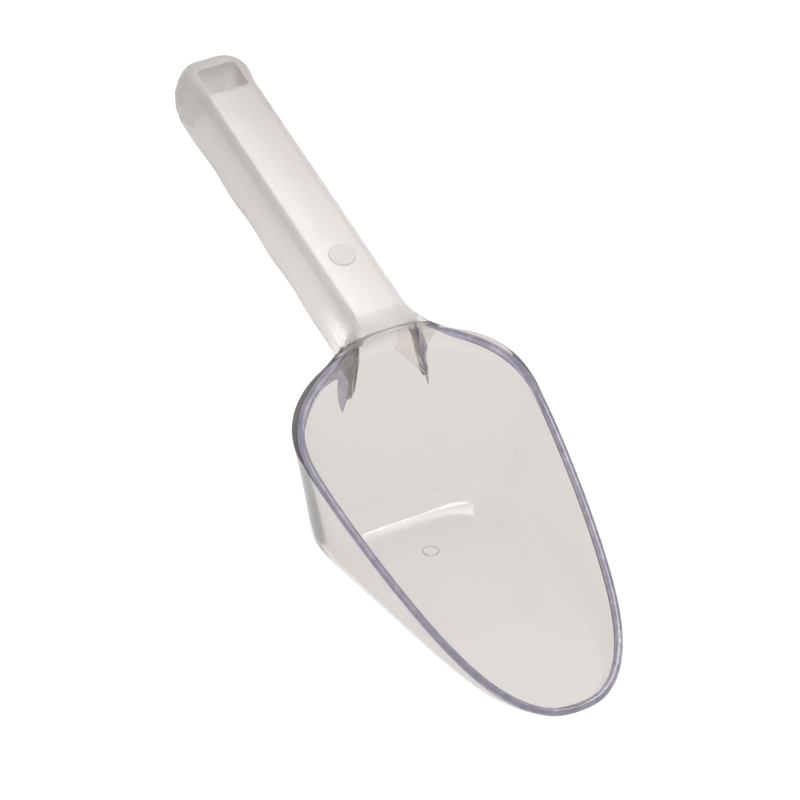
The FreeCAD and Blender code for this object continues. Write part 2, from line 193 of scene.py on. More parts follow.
@dataclass(frozen=True)
class FrostedPolycarbonate:
    """The same polycarbonate from a fine-blasted part of the mould: milky, with painted light that makes it
    lighter towards the neck.

    Low down beside the bowl's wall, where the mould is polished again, it is clear.
    """

    name: str = "frosted polycarbonate, from a fine-blasted mould"
    # painted light: the end colour is the handle's painted shade and the neck colour its painted light
    end: str = "DDD8D5"
    neck: str = "F7F3F0"
    roughness: float = 0.42
    polished: float = 0.12
    ior: float = 1.585
    transmission: float = 0.75
    clear_transmission: float = 0.97
    haze_mm: float = 14.0  # size of the cloudy patches
    grain_mm: float = 0.7  # the real grain is finer than 0.1 mm; this is as fine as shows
    grain_depth_mm: float = 0.05

    def material(self) -> bpy.types.Material:
        """Build the material.

        Returns:
            The new material.
        """
        made = bpy.data.materials.new(self.name)
        made.use_nodes = True
        tree = made.node_tree
        shader = tree.nodes["Principled BSDF"]
        shader.inputs["IOR"].default_value = self.ior
        where = add_node(tree, "ShaderNodeTexCoord")
        axes = add_node(tree, "ShaderNodeSeparateXYZ", {"Vector": (where, "Object")})
        # painted light: this ramp along the handle lightens it towards the neck
        along = add_node(tree, "ShaderNodeMapRange",
                         {"Value": (axes, "X"), "From Min": -0.110, "From Max": -0.010})
        beside = add_node(tree, "ShaderNodeMapRange",
                          {"Value": (axes, "X"), "From Min": -0.022, "From Max": -0.010})
        low = add_node(tree, "ShaderNodeMapRange",
                       {"Value": (axes, "Z"), "From Min": 0.066, "From Max": 0.062})
        clear = add_node(tree, "ShaderNodeMath", {0: (beside, "Result"), 1: (low, "Result")},
                         operation="MULTIPLY")
        for socket, far, close in (("Roughness", self.roughness, self.polished),
                                   ("Transmission Weight", self.transmission, self.clear_transmission)):
            fade = add_node(tree, "ShaderNodeMapRange", {"Value": (clear, 0), "To Min": far, "To Max": close})
            tree.links.new(fade.outputs["Result"], shader.inputs[socket])
        cloud = add_node(tree, "ShaderNodeTexNoise",
                         {"Vector": (where, "Object"), "Scale": 1.0 / (self.haze_mm * MM), "Detail": 2.0})
        haze = add_node(tree, "ShaderNodeMath", {0: (cloud, "Fac"), 1: 0.25}, operation="MULTIPLY")
        mixed = add_node(tree, "ShaderNodeMath", {0: (along, "Result"), 1: (haze, 0)}, operation="ADD")
        # the ramp runs from painted shade at the end to painted light at the neck, with random cloudy patches
        # over it
        ramp = add_node(tree, "ShaderNodeValToRGB", {"Fac": (mixed, 0)})
        ramp.color_ramp.elements[0].position = 0.05
        ramp.color_ramp.elements[0].color = linear(self.end)
        ramp.color_ramp.elements[1].position = 1.1 / 1.15
        ramp.color_ramp.elements[1].color = linear(self.neck)
        tree.links.new(ramp.outputs["Color"], shader.inputs["Base Color"])
        grain = add_node(tree, "ShaderNodeTexNoise",
                         {"Vector": (where, "Object"), "Scale": 1.0 / (self.grain_mm * MM), "Detail": 2.0})
        bump = add_node(tree, "ShaderNodeBump",
                        {"Height": (grain, "Fac"), "Strength": 0.15, "Distance": self.grain_depth_mm * MM})
        tree.links.new(bump.outputs["Normal"], shader.inputs["Normal"])
        return made


@dataclass
class Finishes:
    """One material of each finish."""

    clear: bpy.types.Material = field(default_factory=ClearPolycarbonate().material)
    edge: bpy.types.Material = field(default_factory=EdgePaintedShadeAndHighlights().material)
    frosted: bpy.types.Material = field(default_factory=FrostedPolycarbonate().material)


# ---------------------------------------------------------------- mesh helpers


def make_piece(name: str, points: Sequence[Point], faces: Iterable[Sequence[int]],
               material: bpy.types.Material, sharp_deg: float = 40.0) -> bpy.types.Object:
    """Make a closed mesh object at the origin, with merged seams, outward normals and smooth shading.

    Args:
        name: the piece's name.
        points: corners in metres.
        faces: corner numbers of each face.
        material: its finish.
        sharp_deg: edges turning more than this stay crisp.

    Returns:
        The new object.
    """
    mesh = bpy.data.meshes.new(name)
    mesh.from_pydata([tuple(p) for p in points], [], [list(f) for f in faces])
    work = bmesh.new()
    work.from_mesh(mesh)
    bmesh.ops.remove_doubles(work, verts=work.verts, dist=0.005 * MM)
    bmesh.ops.dissolve_degenerate(work, edges=work.edges, dist=0.001 * MM)
    bmesh.ops.recalc_face_normals(work, faces=work.faces)
    work.to_mesh(mesh)
    work.free()
    mesh.polygons.foreach_set("use_smooth", [True] * len(mesh.polygons))
    mesh.set_sharp_from_angle(angle=math.radians(sharp_deg))
    mesh.materials.append(material)
    made = bpy.data.objects.new(name, mesh)
    bpy.context.scene.collection.objects.link(made)
    return made


def grid_faces(rows: int, columns: int, start: int = 0, closed: bool = False) -> list[tuple[int, ...]]:
    """Quads of a grid of points stored row by row.

    Args:
        rows: number of rows.
        columns: points in each row.
        start: number of the grid's first point.
        closed: join each row's last point to its first.

    Returns:
        The faces.
    """
    faces = []
    for row in range(rows - 1):
        for column in range(columns if closed else columns - 1):
            a = start + row * columns + column
            b = start + row * columns + (column + 1) % columns
            faces.append((a, b, b + columns, a + columns))
    return faces


def deliver(piece: bpy.types.Object, nodes: Sequence[str]) -> None:
    """Fix a finished piece to the scoop, hide the CAD nodes that it replaces and log its face count.

    Args:
        piece: the finished object.
        nodes: CAD nodes that it replaces.
    """
    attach(piece, "root")
    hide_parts(*nodes)
    LOG.info("%s: %d faces", piece.name, len(piece.data.polygons))


# ---------------------------------------------------------------- bowl


@dataclass(frozen=True)
class BowlForm:
    """The bowl's surfaces in millimetres, from the neck: a flat floor, a near-upright back, flaring sides."""

    skin: float = 2.4  # wall thickness
    nose_x: float = 111.0
    heel_x: float = 2.5  # back wall's outer face, carried down to the floor
    back_lean: float = 0.077  # backward per mm up
    base_half: float = 29.5
    base_taper: float = 0.112
    flare: float = 0.225  # outward per mm up, and its gain per mm forward
    flare_gain: float = 0.0030
    widest_x: float = 20.5
    nose_power: float = 8.0  # a higher power makes a blunter nose
    corner_length: float = 22.0
    corner_low: float = 4.4  # roundness of the back's corners, low down and high up
    corner_high: float = 2.3
    corner_change: float = 60.0
    side_fillet: float = 12.0
    nose_fillet: float = 3.2
    heel_fillet: float = 10.4
    least_fillet: float = 0.8
    mouth_nose: float = 1.6
    shoulder_x: float = 14.0
    shoulder_z: float = 47.3
    turn_rise: float = 0.90
    turn_soft: float = 2.0
    neck_zone_x: float = 8.0
    neck_rise: float = 2.6  # the mouth rises this much where it meets the handle
    neck_rise_half: float = 22.0
    neck_rise_run: float = 9.0
    wall_top: float = 72.0

    @staticmethod
    def inset(radius: float, height: float) -> float:
        """How far a quarter round pulls the wall in at a height above its floor.

        Args:
            radius: of the round.
            height: above the level where the round starts.

        Returns:
            The distance in millimetres.
        """
        if height >= radius:
            return 0.0
        return radius - math.sqrt(radius ** 2 - (radius - max(height, 0.0)) ** 2)

    def back(self, height: float, skin: float) -> float:
        """X of the back wall at this height.

        Args:
            height: millimetres above the floor plane.
            skin: 0 for the outer face, the wall thickness for the inner one.

        Returns:
            X in millimetres from the neck.
        """
        inset = self.inset(self.heel_fillet - skin, height - skin)
        return self.heel_x + skin - self.back_lean * height + inset

    def nose(self, height: float, skin: float) -> float:
        """X of the nose at this height.

        Args:
            height: millimetres above the floor plane.
            skin: 0 for the outer face, the wall thickness for the inner one.

        Returns:
            X in millimetres from the neck.
        """
        radius = max(self.nose_fillet - skin, self.least_fillet)
        lean = self.flare + self.flare_gain * self.nose_x
        return self.nose_x - skin + lean * (height - self.mouth_nose) - self.inset(radius, height - skin)

    def fillet(self, share: float, skin: float) -> float:
        """Radius from floor to side wall; share runs from 0 at the back to 1 at the nose."""
        return max(self.side_fillet + (self.nose_fillet - self.side_fillet) * share - skin, self.least_fillet)

    def half_width(self, x: float, height: float, skin: float) -> float:
        """Half width of the bowl at this place and height.

        Args:
            x: millimetres forward of the neck.
            height: millimetres above the floor plane.
            skin: 0 for the outer face, the wall thickness for the inner one.

        Returns:
            The half width in millimetres.
        """
        back, nose = self.back(height, skin), self.nose(height, skin)
        along = x - self.widest_x
        wall = self.base_half - self.base_taper * along
        wall += (self.flare + self.flare_gain * along) * height - skin
        share = min(max((x - back) / (nose - back), 0.0), 1.0)
        wall -= self.inset(self.fillet(share, skin), height - skin)
        closing = 1.0
        if along > 0:
            closing *= max(1.0 - (along / (nose - self.widest_x)) ** self.nose_power, 0.0) ** 0.5
        corner = (back + self.corner_length - x) / self.corner_length
        if corner > 0:
            low = max(1.0 - height / self.corner_change, 0.0) ** 2
            power = self.corner_high + (self.corner_low - self.corner_high) * low
            closing *= max(1.0 - min(corner, 1.0) ** power, 0.0) ** (1.0 / power)
        return wall * closing

    def wall(self, share: float, height: float, skin: float) -> Point:
        """Point of the right-hand wall; share runs from 0 at the back to 1 at the nose.

        Args:
            share: 0 at the back to 1 at the nose.
            height: millimetres above the floor plane.
            skin: 0 for the outer face, the wall thickness for the inner one.

        Returns:
            The point in millimetres.
        """
        back, nose = self.back(height, skin), self.nose(height, skin)
        x = back + (nose - back) * share
        return (x, self.half_width(x, height, skin), height)

    def mouth(self, x: float, y: float) -> float:
        """Height of the mouth edge above this place.

        Args:
            x: millimetres forward of the neck.
            y: millimetres from the centre plane.

        Returns:
            The height in millimetres.
        """
        slope = (self.shoulder_z - self.mouth_nose) / (self.nose_x - self.shoulder_x)
        front = self.mouth_nose + slope * (self.nose_x - x)
        rear = self.shoulder_z + self.turn_rise * (self.shoulder_x - x)
        edge = (front + rear + math.hypot(front - rear, self.turn_soft)) / 2.0
        if x < self.neck_zone_x:
            edge += self.neck_rise * ease((self.neck_rise_half - abs(y)) / self.neck_rise_run)
        return edge

    def edge_height(self, share: float, skin: float) -> float:
        """Height at which this column of the wall meets the mouth edge.

        Args:
            share: 0 at the back to 1 at the nose.
            skin: 0 for the outer face, the wall thickness for the inner one.

        Returns:
            The height in millimetres.
        """
        low, high = skin, self.wall_top
        for _ in range(40):
            middle = (low + high) / 2.0
            x, y, z = self.wall(share, middle, skin)
            if z < self.mouth(x, y):
                low = middle
            else:
                high = middle
        return (low + high) / 2.0


@dataclass
class BowlShell:
    """The clear bowl as one closed skin, with even wall thickness."""

    form: BowlForm
    material: bpy.types.Material
    columns: int = 84
    fillet_rows: int = 10
    wall_rows: int = 16
    floor_columns: int = 12
    below_edge: float = 1.3  # the shell stops this far under the top of the lip
    least_rise: float = 0.3

    def heights(self, share: float, skin: float) -> list[float]:
        """Heights of one column's points, from the floor to just under the mouth edge.

        Args:
            share: 0 at the back to 1 at the nose.
            skin: 0 for the outer face, the wall thickness for the inner one.

        Returns:
            The heights, lowest first.
        """
        top = self.form.edge_height(share, skin) - self.below_edge
        radius = self.form.fillet(share, skin)
        rise = max(top - skin, self.least_rise)
        full = math.pi / 2.0 if rise > radius else math.acos(1.0 - rise / radius)
        turns = [full * k / self.fillet_rows for k in range(self.fillet_rows + 1)]
        rows = [skin + radius * (1.0 - math.cos(turn)) for turn in turns]
        last = rows[-1]
        rest = skin + rise - last
        return rows + [last + rest * k / self.wall_rows for k in range(1, self.wall_rows + 1)]

    def surface(self, skin: float) -> list[list[Point]]:
        """Rows of points of one face of the wall, each running from the left of the back round the nose.

        Args:
            skin: 0 for the outer face, the wall thickness for the inner one.

        Returns:
            The rows, lowest first, in the row frame.
        """
        shares = [(1.0 - math.cos(math.pi * k / self.columns)) / 2.0 for k in range(self.columns + 1)]
        right = [[self.form.wall(s, h, skin) for h in self.heights(s, skin)] for s in shares]
        rows = []
        for row in range(self.fillet_rows + self.wall_rows + 1):
            line = [column[row] for column in right]
            mirrored = [(x, -y, z) for x, y, z in reversed(line[1:-1])]
            rows.append([place(*p) for p in line + mirrored])
        return rows

    def floor_strips(self, rim: list[int], points: list[Point]) -> list[tuple[int, ...]]:
        """Close a level curve with strips from side to side, adding the points between.

        Args:
            rim: numbers of the curve's points.
            points: all points so far; the new ones are added to it.

        Returns:
            The faces.
        """
        faces = []
        count = len(rim)
        lines = [[rim[0]]]
        for k in range(1, self.columns):
            left, right = points[rim[count - k]], points[rim[k]]
            line = [rim[count - k]]
            for step in range(1, self.floor_columns):
                t = step / self.floor_columns
                line.append(len(points))
                points.append(tuple(left[i] + (right[i] - left[i]) * t for i in range(3)))
            lines.append(line + [rim[k]])
        lines.append([rim[self.columns]])
        for before, after in zip(lines, lines[1:]):
            if len(before) == 1:
                faces += [(before[0], after[i], after[i + 1]) for i in range(len(after) - 1)]
            elif len(after) == 1:
                faces += [(after[0], before[i + 1], before[i]) for i in range(len(before) - 1)]
            else:
                faces += [(before[i], after[i], after[i + 1], before[i + 1]) for i in range(len(before) - 1)]
        return faces

    def build(self) -> bpy.types.Object:
        """Build the shell and put it in place of the bowl's CAD nodes.

        Returns:
            The shell.
        """
        outer, inner = self.surface(0.0), self.surface(self.form.skin)
        width = len(outer[0])
        rows = outer + list(reversed(inner))
        points = [p for row in rows for p in row]
        faces = grid_faces(len(rows), width, closed=True)
        faces += self.floor_strips(list(range(width)), points)
        faces += self.floor_strips(list(range((len(rows) - 1) * width, len(rows) * width)), points)
        shell = make_piece("bowl_shell", points, faces, self.material, sharp_deg=60.0)
        deliver(shell,
                ["bowl_floor", "bowl_back_wall", "bowl_left_wall", "bowl_right_wall"])
        return shell


@dataclass
class MouthLip:
    """The rounded edge band that follows the mouth, swept along it by Geometry Nodes."""

    form: BowlForm
    material: bpy.types.Material
    width: float = 2.2
    height: float = 2.1
    corner: float = 0.85
    stop_y: float = 13.5  # its ends lie this far from the centre plane, beside the neck
    nose_setback: float = 2.2
    tuck: float = 0.25
    clearance: float = 0.05
    stations: int = 150
    smoothing: int = 60
    spacing: float = 1.2
    fading: float = 0.03  # share of its length over which each end thins
    end_scale: float = 0.2

    def path(self) -> list[Point]:
        """Middle line of the lip, from the right of the neck round the nose to the left.

        Returns:
            Its points in millimetres.
        """
        skin = self.form.skin
        right = []
        low = self.height / 2.0
        for k in range(self.stations + 1):
            share = (1.0 - math.cos(math.pi * k / self.stations)) / 2.0
            xo, yo, zo = self.form.wall(share, self.form.edge_height(share, 0.0), 0.0)
            xi, yi, zi = self.form.wall(share, self.form.edge_height(share, skin), skin)
            x, y, z = (xo + xi) / 2.0, (yo + yi) / 2.0, (zo + zi) / 2.0 - low
            if yo > 2.0:
                y -= self.tuck
            if share > 0.5:
                x = min(x, self.form.nose_x - self.nose_setback)
            if share > 0.3 or yo > self.stop_y:
                right.append((x, y, max(z, low + self.clearance)))
        line = right + [(x, -y, z) for x, y, z in reversed(right[:-1])]
        for _ in range(self.smoothing):
            between = [tuple((a[i] + 2.0 * b[i] + c[i]) / 4.0 for i in range(3))
                       for a, b, c in zip(line, line[1:], line[2:])]
            line = [line[0], *between, line[-1]]
        return line

    def tree(self) -> bpy.types.GeometryNodeTree:
        """Node tree: the path as a curve, swept with a rounded profile.

        Returns:
            The tree.
        """
        tree = bpy.data.node_groups.new("mouth lip sweep", "GeometryNodeTree")
        tree.interface.new_socket("Geometry", in_out="INPUT", socket_type="NodeSocketGeometry")
        for name in ("Width", "Height", "Corner", "Spacing", "Fading", "End Scale"):
            tree.interface.new_socket(name, in_out="INPUT", socket_type="NodeSocketFloat")
        tree.interface.new_socket("Finish", in_out="INPUT", socket_type="NodeSocketMaterial")
        tree.interface.new_socket("Geometry", in_out="OUTPUT", socket_type="NodeSocketGeometry")
        given = add_node(tree, "NodeGroupInput")
        curve = add_node(tree, "GeometryNodeMeshToCurve", {"Mesh": (given, "Geometry")})
        even = add_node(tree, "GeometryNodeResampleCurve",
                        {"Curve": (curve, "Curve"), "Length": (given, "Spacing")}, mode="LENGTH")
        upright = add_node(tree, "GeometryNodeSetCurveNormal", {"Curve": (even, "Curve")}, mode="Z_UP")
        outline = add_node(tree, "GeometryNodeCurvePrimitiveQuadrilateral",
                           {"Width": (given, "Width"), "Height": (given, "Height")})
        profile = add_node(tree, "GeometryNodeFilletCurve",
                           {"Curve": (outline, "Curve"), "Radius": (given, "Corner"), "Count": 5},
                           mode="POLY")
        along = add_node(tree, "GeometryNodeSplineParameter")
        left = add_node(tree, "ShaderNodeMath", {0: 1.0, 1: (along, "Factor")}, operation="SUBTRACT")
        nearer = add_node(tree, "ShaderNodeMath", {0: (along, "Factor"), 1: (left, 0)}, operation="MINIMUM")
        taper = add_node(tree, "ShaderNodeMapRange",
                         {"Value": (nearer, 0), "From Min": 0.0, "From Max": (given, "Fading"),
                          "To Min": (given, "End Scale"), "To Max": 1.0}, interpolation_type="SMOOTHSTEP")
        sweep = add_node(tree, "GeometryNodeCurveToMesh",
                         {"Curve": (upright, "Curve"), "Scale": (taper, "Result"),
                          "Profile Curve": (profile, "Curve"), "Fill Caps": True})
        real = add_node(tree, "GeometryNodeRealizeInstances", {"Geometry": (sweep, "Mesh")})
        dressed = add_node(tree, "GeometryNodeSetMaterial",
                           {"Geometry": (real, "Geometry"), "Material": (given, "Finish")})
        add_node(tree, "NodeGroupOutput", {"Geometry": (dressed, "Geometry")})
        return tree

    def build(self) -> bpy.types.Object:
        """Build the lip and put it in place of its CAD node.

        Returns:
            The lip.
        """
        line = [place(*p) for p in self.path()]
        guide_mesh = bpy.data.meshes.new("mouth_edge_line")
        guide_mesh.from_pydata(line, [(i, i + 1) for i in range(len(line) - 1)], [])
        guide = bpy.data.objects.new("mouth_edge_line", guide_mesh)
        bpy.context.scene.collection.objects.link(guide)
        tree = self.tree()
        modifier = guide.modifiers.new("sweep", "NODES")
        modifier.node_group = tree
        values = {"Width": self.width * MM, "Height": self.height * MM, "Corner": self.corner * MM,
                  "Spacing": self.spacing * MM, "Fading": self.fading, "End Scale": self.end_scale,
                  "Finish": self.material}
        for item in tree.interface.items_tree:
            if item.in_out == "INPUT" and item.name in values:
                modifier[item.identifier] = values[item.name]
        depsgraph = bpy.context.evaluated_depsgraph_get()
        mesh = bpy.data.meshes.new_from_object(guide.evaluated_get(depsgraph))
        bpy.data.objects.remove(guide)
        points = [tuple(v.co) for v in mesh.vertices]
        faces = [tuple(p.vertices) for p in mesh.polygons]
        lip = make_piece("mouth_lip_band", points, faces, self.material)
        deliver(lip, ["mouth_lip"])
        return lip


# ---------------------------------------------------------------- handle


@dataclass
class Handle:
    """The frosted handle: a channel open below, with a window at its end and shoulders into the bowl.

    Its own frame: s along the handle from the neck, y across, z up from its top, so the channel is below 0.
    """

    form: BowlForm
    material: bpy.types.Material
    rise_deg: float = 16.3
    neck_z: float = 67.3
    length: float = 114.2
    half: float = 9.8
    side: float = 2.8  # thickness of the sides
    plate: float = 2.4  # thickness of the top
    depth: float = 20.0
    top_round: float = 3.3
    corner: float = 6.5
    window_near: float = 100.0
    end_wall: float = 4.0
    end_bulge: float = 2.1
    wave: float = 0.9  # depth of the finger waves
    wave_pitch: float = 25.0
    waves: int = 4
    neck_deeper: float = 3.0
    parting: float = 15.2  # depth of the mould's parting line
    step_in: float = 0.25
    neck_start: float = 12.0
    web: float = 8.0  # reach of the concave shoulders
    splay: float = 4.8  # the sides move apart by this at their lower edges
    fall: float = 5.6  # the shoulders come down by this
    forward: float = 1.8  # and forward by this at their tips
    thinning: float = 1.5
    widening: float = 0.6  # the bend widens by this share
    sag: float = 1.8
    bite: float = 2.5  # the neck's top runs this far into the back wall
    bite_loss: float = 2.55  # and its sides this much less
    edge_round: float = 1.2
    top_points: int = 6
    round_points: int = 6
    inner_points: int = 5
    straight_steps: int = 86
    edge_steps: int = 5
    corner_steps: int = 12

    def world(self, s: float, y: float, z: float) -> Point:
        """Row-frame place of a point of the handle's own frame.

        Args:
            s: distance along the handle from the neck.
            y: across.
            z: above its top.

        Returns:
            The place in metres.
        """
        turn = math.radians(self.rise_deg)
        sine, cosine = math.sin(turn), math.cos(turn)
        return place(z * sine - s * cosine, y, self.neck_z + s * sine + z * cosine)

    def at_wall(self, z: float, beyond: float) -> float:
        """S at which a line at depth z meets the back wall's outer face, plus a bite into it.

        Args:
            z: above the top of the handle.
            beyond: millimetres past the face.

        Returns:
            The distance along the handle.
        """
        turn = math.radians(self.rise_deg)
        lean = self.form.back_lean
        wanted = z * (math.sin(turn) + lean * math.cos(turn)) + lean * self.neck_z - self.form.heel_x - beyond
        return wanted / (math.cos(turn) - lean * math.sin(turn))

    def drop(self, s: float) -> float:
        """Depth of the lower edge at s: finger waves, deeper towards the neck.

        Args:
            s: distance along the handle from the neck.

        Returns:
            The depth in millimetres.
        """
        if s > self.wave_pitch * self.waves:
            return self.depth
        deeper = self.neck_deeper * max(0.0, 1.0 - s / 30.0) ** 2
        return self.depth + deeper - self.wave * (1.0 - math.cos(2 * math.pi * s / self.wave_pitch)) / 2.0

    def section(self, s: float) -> list[tuple[float, float]]:
        """Right half of the cross-section, from the top's middle round to the underside's middle.

        Args:
            s: distance along the handle from the neck.

        Returns:
            (y, z) of each point.
        """
        inner, low = self.half - self.side, self.drop(s)
        shoulder = self.half - self.top_round
        start = min(inner, shoulder)
        half = [(start * k / self.top_points, 0.0) for k in range(self.top_points + 1)]
        for k in range(1, self.round_points + 1):
            turn = math.pi / 2.0 * k / self.round_points
            half.append((shoulder + self.top_round * math.sin(turn), self.top_round * (math.cos(turn) - 1.0)))
        below = self.half - self.step_in
        half += [(self.half, -6.0), (self.half, -10.0), (self.half, -self.parting + 0.2),
                 (below, -self.parting - 0.2), (below, -self.parting - 1.8), (below, -low + 0.8),
                 (below - 0.25, -low + 0.22), (below - 0.8, -low), (inner + 0.8, -low),
                 (inner + 0.25, -low + 0.22)]
        for z in (-low + 0.8, -15.0, -11.0, -7.0, -self.plate - 0.6):
            half.append((start, z))
        half += [(start * k / self.top_points, -self.plate) for k in range(self.top_points, -1, -1)]
        return half

    def marks(self) -> tuple[int, int]:
        """Numbers of the section's points where the window's edge and the plate's underside begin."""
        return self.top_points, len(self.section(self.neck_start)) - 1 - self.top_points

    def plate_ring(self, s: float) -> list[Point]:
        """Closed cross-section of the straight part at s.

        Args:
            s: distance along the handle from the neck.

        Returns:
            Its points in the row frame.
        """
        over = min(max((s - self.window_near + self.edge_round) / self.edge_round, 0.0), 1.0)
        dip = 0.8 * self.edge_round * (1.0 - math.sqrt(1.0 - over ** 2))
        section = self.section(s)
        dips = [dip if k < self.top_points else 0.0 for k in range(len(section))]
        return self.mirrored([(s, y, z - down) for (y, z), down in zip(section, dips)])

    def mirrored(self, half: list[Point]) -> list[Point]:
        """Both halves of a ring from its right half, in the row frame."""
        left = [(s, -y, z) for s, y, z in reversed(half[1:-1])]
        return [self.world(*p) for p in half + left]

    def neck_ring(self, station: int, stations: int) -> list[Point]:
        """Closed cross-section in the neck, where the top bends over the back wall and the sides spread.

        Args:
            station: number of the cross-section, 0 where the neck starts.
            stations: number of the last one, at the bowl.

        Returns:
            Its points in the row frame.
        """
        start = self.neck_start
        part = station / stations
        crest_s, crest_z = self.crest_line()[station]
        section = self.section(start)
        plate_end, under = self.marks()
        inner_edge = section[plate_end][0]
        ring = []
        for number, (y, z) in enumerate(section):
            reach = self.at_wall(z, self.bite - self.bite_loss * ease(-z / 7.0))
            s = start + (reach - start) * part
            spread = min(max(1.0 - (s - reach) / self.web, 0.0), 0.995)
            curl = 1.0 - math.sqrt(1.0 - spread ** 2)
            amount = self.web * (1.0 - 0.88 * ease((-z - 3.0) / 11.0))
            splay = self.splay * min(-z / self.depth, 1.0) * ease(part)
            if number <= plate_end:  # the top, which bends down
                sag = self.sag * (y / inner_edge) ** 2 * ease((part - 0.4) / 0.6)
                ring.append((crest_s - 0.3 * sag, y * (1.0 + self.widening * ease(part)), crest_z - sag))
            elif number >= under - self.inner_points:  # the channel's inside
                ring.append((s, y + splay, z))
            elif z <= -self.drop(start) + 0.5:  # the sides' lower edges
                share = (y - (self.half - self.side)) / self.side
                outer = (amount * curl - self.thinning * ease(part)) * share
                ring.append((s, y + splay + outer, z - 2.0 * part))
            else:  # the sides' outer faces, which curl out as shoulders
                fall = self.fall * curl * (1.0 - min(max((-z - self.top_round) / 16.0, 0.0), 1.0))
                forward = self.forward * (max(y + amount * curl - self.half, 0.0) / self.web) ** 2.0
                thinned = self.thinning * ease(part) * ease((-z - 6.0) / 12.0)
                ring.append((s - forward * part, y + splay + amount * curl - thinned, z - fall))
        return self.mirrored(ring)

    def crest_line(self) -> list[tuple[float, float]]:
        """(s, z) of the top's middle in the neck: flat, a sloping band, then down the wall's inner face.

        Returns:
            The points, from the handle to the bowl.
        """
        band = [(self.neck_start, 0.0), (10.5, 0.0), (9.0, 0.0), (7.4, 0.0), (6.2, -0.02), (5.4, -0.16),
                (4.2, -0.45), (2.8, -0.85), (1.4, -1.25), (0.6, -1.6)]
        skin = self.form.skin + 0.12
        return band + [(self.at_wall(z, skin), z) for z in (-2.1, -2.6, -3.3)]

    def end_path(self) -> list[tuple[Point, Point, float]]:
        """Outer line round the window as (place, inward direction, wall thickness), from right to left.

        Returns:
            One entry for each cross-section of the wall.
        """
        steps = []
        straight = self.length - self.corner
        for k in range(5):
            s = self.window_near + (straight - self.window_near) * k / 4
            steps.append(((s, self.half, 0.0), (0.0, -1.0, 0.0), self.side))
        for k in range(1, self.corner_steps + 1):
            turn = math.pi / 2.0 * k / self.corner_steps
            outward = (math.sin(turn), math.cos(turn))
            s = straight + self.corner * outward[0]
            y = self.half - self.corner + self.corner * outward[1]
            thick = self.side + (self.end_wall - self.side) * ease(k / self.corner_steps)
            steps.append(((s, y, 0.0), (-outward[0], -outward[1], 0.0), thick))
        steps.append(((self.length, 1.6, 0.0), (-1.0, 0.0, 0.0), self.end_wall))
        mirrored = [((s, -y, z), (a, -b, c), t) for (s, y, z), (a, b, c), t in reversed(steps)]
        return steps + [((self.length, 0.0, 0.0), (-1.0, 0.0, 0.0), self.end_wall)] + mirrored

    def end_rings(self) -> list[list[Point]]:
        """Cross-sections of the wall round the window, one for each point of its outer line.

        Returns:
            The cross-sections in the row frame.
        """
        first, last = self.marks()
        rings = []
        for (s, y, _), (ds, dy, _), thick in self.end_path():
            section = self.section(min(s, self.window_near))[first:last + 1]
            ring = []
            for across, z in section:
                inward = self.half - across
                if inward > self.step_in + 0.01:
                    thicker = (thick - self.step_in) / (self.side - self.step_in)
                    inward = self.step_in + (inward - self.step_in) * thicker
                if across > self.half - self.top_round:
                    swell = ease((s - self.window_near) / 7.0) * math.sin(math.pi * min(-z / 19.0, 1.0))
                    inward -= self.end_bulge * swell
                ring.append(self.world(s + ds * inward, y + dy * inward, z))
            rings.append(ring)
        return rings

    def cap(self, width: int) -> list[Sequence[int]]:
        """Faces that close the first ring, between its outer and its inner line.

        Args:
            width: number of points in a ring.

        Returns:
            The faces.
        """
        half = len(self.section(self.neck_start)) - 1
        faces: list[Sequence[int]] = []
        for side in (1, -1):
            outer, inner = 0, half
            while inner - outer > 1:
                ahead_outer, ahead_inner = outer / (half * 0.62), (half - inner) / (half * 0.38)
                if ahead_outer <= ahead_inner:
                    corner = (outer, outer + 1, inner)
                    outer += 1
                else:
                    corner = (outer, inner - 1, inner)
                    inner -= 1
                faces.append(tuple((side * number) % width for number in corner))
        return faces

    def build(self) -> bpy.types.Object:
        """Build the handle with its neck and put it in place of its CAD nodes.

        Returns:
            The handle.
        """
        stations = len(self.crest_line()) - 1
        rings = [self.neck_ring(k, stations) for k in range(stations, -1, -1)]
        near = self.window_near - self.edge_round
        pitch = (near - self.neck_start) / self.straight_steps
        straight = [self.neck_start + pitch * k for k in range(1, self.straight_steps + 1)]
        straight += [near + self.edge_round * math.sin(math.pi / 2.0 * k / self.edge_steps)
                     for k in range(1, self.edge_steps + 1)]
        rings += [self.plate_ring(s) for s in straight]
        width = len(rings[0])
        points = [p for ring in rings for p in ring]
        faces: list[Sequence[int]] = grid_faces(len(rings), width, closed=True)
        faces += self.cap(width)
        last = (len(rings) - 1) * width
        half = len(self.section(self.neck_start)) - 1
        for k in range(self.top_points):
            faces.append((last + k, last + k + 1, last + half - k - 1, last + half - k))
            a, b = (width - k) % width, (width - k - 1) % width
            faces.append((last + a, last + b, last + half + k + 1, last + half + k))
        walls = self.end_rings()
        start = len(points)
        points += [p for ring in walls for p in ring]
        faces += grid_faces(len(walls), len(walls[0]), start, closed=True)
        handle = make_piece("handle_moulding", points, faces, self.material, sharp_deg=35.0)
        deliver(handle,
                ["handle_top", "handle_left_wall", "handle_right_wall", "handle_end", "neck_bridge",
                 "neck_shoulder_left", "neck_shoulder_right"])
        return handle


